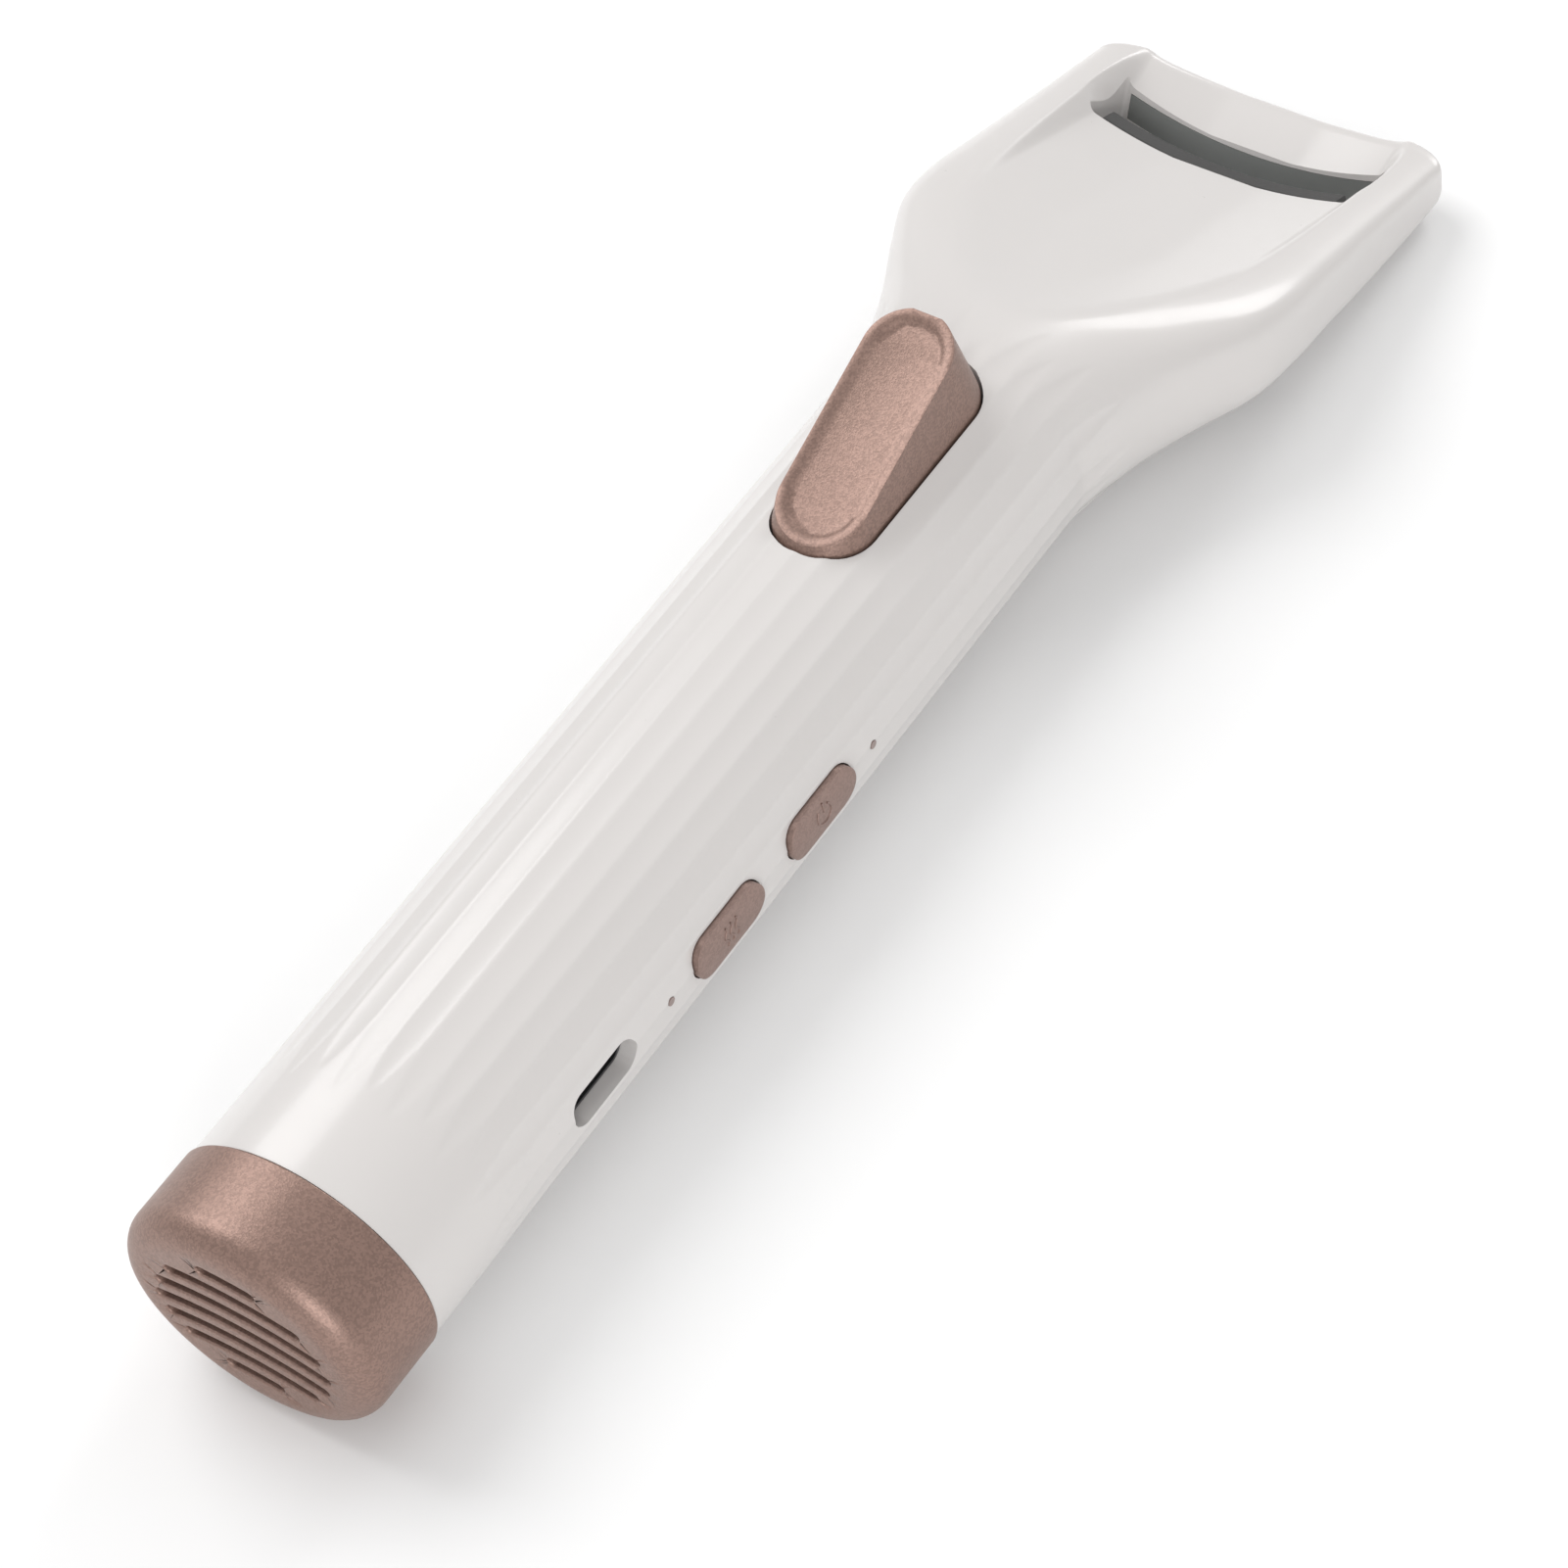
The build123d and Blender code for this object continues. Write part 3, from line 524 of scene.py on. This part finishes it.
# ---------------------------------------------------------------- materials
def material(name, color, rough, metal=0.0, coat=0.0, sheen=0.0, grain=900.0, bump=0.05, vary=0.04,
             spec=0.5, flake=False):
    """A principled finish whose colour, roughness and surface all carry a fine procedural grain."""
    mat = bpy.data.materials.new(name)
    mat.use_nodes = True
    nodes, links = mat.node_tree.nodes, mat.node_tree.links
    nodes.clear()
    out = nodes.new("ShaderNodeOutputMaterial")
    shader = nodes.new("ShaderNodeBsdfPrincipled")
    links.new(shader.outputs[0], out.inputs[0])
    shader.inputs["Metallic"].default_value = metal
    shader.inputs["Coat Weight"].default_value = coat
    shader.inputs["Coat Roughness"].default_value = 0.12
    shader.inputs["Sheen Weight"].default_value = sheen
    shader.inputs["Specular IOR Level"].default_value = spec
    place = nodes.new("ShaderNodeTexCoord")
    noise = nodes.new("ShaderNodeTexNoise")
    noise.inputs["Scale"].default_value = grain
    noise.inputs["Detail"].default_value = 4
    links.new(place.outputs["Object"], noise.inputs["Vector"])
    broad = nodes.new("ShaderNodeTexNoise")
    broad.inputs["Scale"].default_value = 45
    links.new(place.outputs["Object"], broad.inputs["Vector"])
    ramp = nodes.new("ShaderNodeValToRGB")
    ramp.color_ramp.elements[0].position = 0.3
    ramp.color_ramp.elements[1].position = 0.7
    ramp.color_ramp.elements[0].color = (*[c * (1 - vary) for c in color], 1)
    ramp.color_ramp.elements[1].color = (*[min(c * (1 + vary), 1) for c in color], 1)
    source = noise
    if flake:
        cells = nodes.new("ShaderNodeTexVoronoi")
        cells.inputs["Scale"].default_value = 5200
        links.new(place.outputs["Object"], cells.inputs["Vector"])
        source = cells
        links.new(cells.outputs["Color"], ramp.inputs["Fac"])
    else:
        links.new(broad.outputs["Fac"], ramp.inputs["Fac"])
    links.new(ramp.outputs["Color"], shader.inputs["Base Color"])
    spread = nodes.new("ShaderNodeMapRange")
    spread.inputs["To Min"].default_value = max(rough - 0.05, 0.02)
    spread.inputs["To Max"].default_value = rough + 0.05
    links.new(noise.outputs["Fac"], spread.inputs["Value"])
    links.new(spread.outputs["Result"], shader.inputs["Roughness"])
    bumper = nodes.new("ShaderNodeBump")
    bumper.inputs["Strength"].default_value = bump
    bumper.inputs["Distance"].default_value = 0.0001
    links.new(source.outputs["Distance" if flake else "Fac"], bumper.inputs["Height"])
    links.new(bumper.outputs["Normal"], shader.inputs["Normal"])
    return mat


MATERIALS = {
    "body_white": material("body_white", (0.64, 0.615, 0.60), 0.30, coat=0.35, grain=700,
                           bump=0.02, vary=0.006),
    "rose_gold": material("rose_gold", (0.275, 0.178, 0.146), 0.42, metal=0.55,
                          bump=0.12, vary=0.12, flake=True),
    "button_rose": material("button_rose", (0.29, 0.20, 0.172), 0.42, metal=0.6,
                            bump=0.10, vary=0.08, flake=True),
    "dark_silicone": material("dark_silicone", (0.030, 0.029, 0.028), 0.6, sheen=0.05, grain=2600,
                              bump=0.15, vary=0.1),
    # jaw_grey is partly painted shade: the strip is a real part, but its grey stands in for the shade on the
    # lip's inner face
    "jaw_grey": material("jaw_grey", (0.20, 0.207, 0.20), 0.45, grain=2600, bump=0.1, vary=0.05),
    "black_mesh": material("black_mesh", (0.012, 0.012, 0.012), 0.8, grain=6000, bump=0.6, vary=0.3),
    "steel": material("steel", (0.55, 0.55, 0.56), 0.3, metal=1.0, grain=2200, bump=0.05),
    "spring_steel": material("spring_steel", (0.45, 0.45, 0.46), 0.35, metal=1.0, grain=2200),
    "carriage_nylon": material("carriage_nylon", (0.05, 0.05, 0.052), 0.55, grain=2500, bump=0.15, vary=0.1),
    "aluminium": material("aluminium", (0.62, 0.62, 0.63), 0.35, metal=1.0, grain=1500, bump=0.08),
    "heater_ceramic": material("heater_ceramic", (0.55, 0.38, 0.12), 0.6, grain=2500, bump=0.2),
    "black_plastic": material("black_plastic", (0.018, 0.018, 0.019), 0.45, grain=2500, bump=0.12, vary=0.15),
    "light_pipe": material("light_pipe", (0.26, 0.19, 0.17), 0.3, coat=0.3, grain=2000),
    "led_white": material("led_white", (0.8, 0.79, 0.72), 0.3, grain=2000),
    "port_steel": material("port_steel", (0.10, 0.10, 0.105), 0.32, metal=0.9, grain=2200),
    "board_green": material("board_green", (0.015, 0.10, 0.04), 0.4, grain=3000, vary=0.2),
    "battery_wrap": material("battery_wrap", (0.03, 0.10, 0.30), 0.3, grain=800),
    "nickel": material("nickel", (0.58, 0.55, 0.48), 0.3, metal=1.0, grain=2000),
    "foam": material("foam", (0.05, 0.05, 0.05), 0.9, grain=3500, bump=0.5, vary=0.2),
    "screw_steel": material("screw_steel", (0.5, 0.5, 0.51), 0.28, metal=1.0, grain=2200),
}


def add_seam(mat):
    """A fine dark line where the front shell meets the back cover, low on the sides."""
    nodes, links = mat.node_tree.nodes, mat.node_tree.links
    shader = next(n for n in nodes if n.type == "BSDF_PRINCIPLED")
    place = next(n for n in nodes if n.type == "TEX_COORD")
    split = nodes.new("ShaderNodeSeparateXYZ")
    links.new(place.outputs["Object"], split.inputs[0])

    def math(operation, a, b):
        node = nodes.new("ShaderNodeMath")
        node.operation = operation
        for socket, value in zip(node.inputs, (a, b)):
            if isinstance(value, float):
                socket.default_value = value
            else:
                links.new(value, socket)
        return node.outputs[0]

    past_bend = math("MAXIMUM", math("SUBTRACT", split.outputs["Y"], row(0, 135.0, 0).y), 0.0)
    seam_height = math("SUBTRACT", row(0, 0, -5.0).z, math("MULTIPLY", past_bend, 4.0 / 23.0))
    away = math("ABSOLUTE", math("SUBTRACT", split.outputs["Z"], seam_height), 0.0)
    line = math("LESS_THAN", away, 0.00007)
    before_end = math("LESS_THAN", split.outputs["Y"], row(0, 158.0, 0).y)
    line = math("MULTIPLY", line, before_end)
    blend = nodes.new("ShaderNodeMix")
    blend.data_type = "RGBA"
    links.new(line, blend.inputs["Factor"])
    links.new(shader.inputs["Base Color"].links[0].from_socket, blend.inputs["A"])
    blend.inputs["B"].default_value = (0.16, 0.155, 0.15, 1)
    links.new(blend.outputs["Result"], shader.inputs["Base Color"])


def paint(obj, mat):
    if not obj.material_slots:
        obj.data.materials.append(mat)
    for slot in obj.material_slots:
        slot.material = mat


slots = {part["node"]: part["material_slot"] for part in frame["record"]["subparts"]}
for name, obj in frame["nodes"].items():
    paint(obj, MATERIALS[slots[name]])
    if name in ("end_cap", "thumb_lever", "power_button", "temperature_button"):
        weld = obj.modifiers.new("weld", "WELD")
        weld.merge_threshold = 0.000002
        edge = obj.modifiers.new("edges", "BEVEL")
        edge.width = 0.00022
        edge.segments = 2
        edge.limit_method = "ANGLE"
        edge.angle_limit = radians(35)
        obj.data.shade_smooth()
        normals = obj.modifiers.new("normals", "WEIGHTED_NORMAL")
        normals.keep_sharp = False
add_seam(MATERIALS["body_white"])
paint(body, MATERIALS["body_white"])
# the strip under the lip gets jaw_grey, a grey that is partly painted shade for the lip's shaded inner face
paint(frame["nodes"]["fixed_jaw_strip"], MATERIALS["jaw_grey"])
pad = make_pad()
paint(pad, MATERIALS["dark_silicone"])
paint(power_icon, MATERIALS["button_rose"])
paint(heat_icon, MATERIALS["button_rose"])


def make_return_coils():
    """The springs that push the jaw back, copied from the CAD springs and fixed to the housing."""
    for side in ("left", "right"):
        node = f"return_spring_{side}"
        coil = bpy.data.objects.new(f"return_coil_{side}", frame["nodes"][node].data.copy())
        bpy.context.scene.collection.objects.link(coil)
        paint(coil, MATERIALS["spring_steel"])
        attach(coil, "housing")
        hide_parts(node)
        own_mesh(coil)


make_return_coils()


# ---------------------------------------------------------------- floor, light and camera
def make_floor():
    mesh = bpy.data.meshes.new("floor")
    size = 6.0
    corners = [(-size, -size, 0), (size, -size, 0), (size, size, 0), (-size, size, 0)]
    mesh.from_pydata(corners, [], [(0, 1, 2, 3)])
    floor_obj = bpy.data.objects.new("floor", mesh)
    bpy.context.scene.collection.objects.link(floor_obj)
    paper = material("floor_paper", (0.90, 0.90, 0.90), 0.9, grain=60, bump=0.01, vary=0.003, spec=0.2)
    paint(floor_obj, paper)


make_floor()


def area_light(name, place, size, power):
    """A round soft light that points at the middle of the object's floor."""
    light = bpy.data.lights.new(name, "AREA")
    light.shape = "DISK"
    light.size = size
    light.energy = power
    obj = bpy.data.objects.new(name, light)
    bpy.context.scene.collection.objects.link(obj)
    obj.location = place
    obj.rotation_euler = (-Vector(place)).to_track_quat("-Z", "Y").to_euler()


area_light("key", (-0.55, 0.05, 0.65), 0.7, 4.2)
area_light("fill", (0.5, -0.6, 0.35), 0.5, 2.8)
area_light("back", (0.0, 0.8, 0.5), 0.4, 2.0)

world = bpy.data.worlds.new("studio")
world.use_nodes = True
world.node_tree.nodes["Background"].inputs[0].default_value = (1, 1, 1, 1)
world.node_tree.nodes["Background"].inputs[1].default_value = 0.58
bpy.context.scene.world = world
bpy.context.scene.view_settings.view_transform = "Standard"

lens = bpy.data.cameras.new("camera")
lens.sensor_width = 36
lens.lens = 101.443
lens.clip_start = 0.01
camera = bpy.data.objects.new("camera", lens)
bpy.context.scene.collection.objects.link(camera)
right = (0.835271, 0.542309, -0.090681)
up = (-0.37471, 0.68213, 0.627925)
back = (0.402386, -0.490509, 0.772973)
turned = Matrix((right, up, back)).transposed().to_4x4()
camera.matrix_world = Matrix.Translation((0.166844, -0.211431, 0.317489)) @ turned
bpy.context.scene.camera = camera
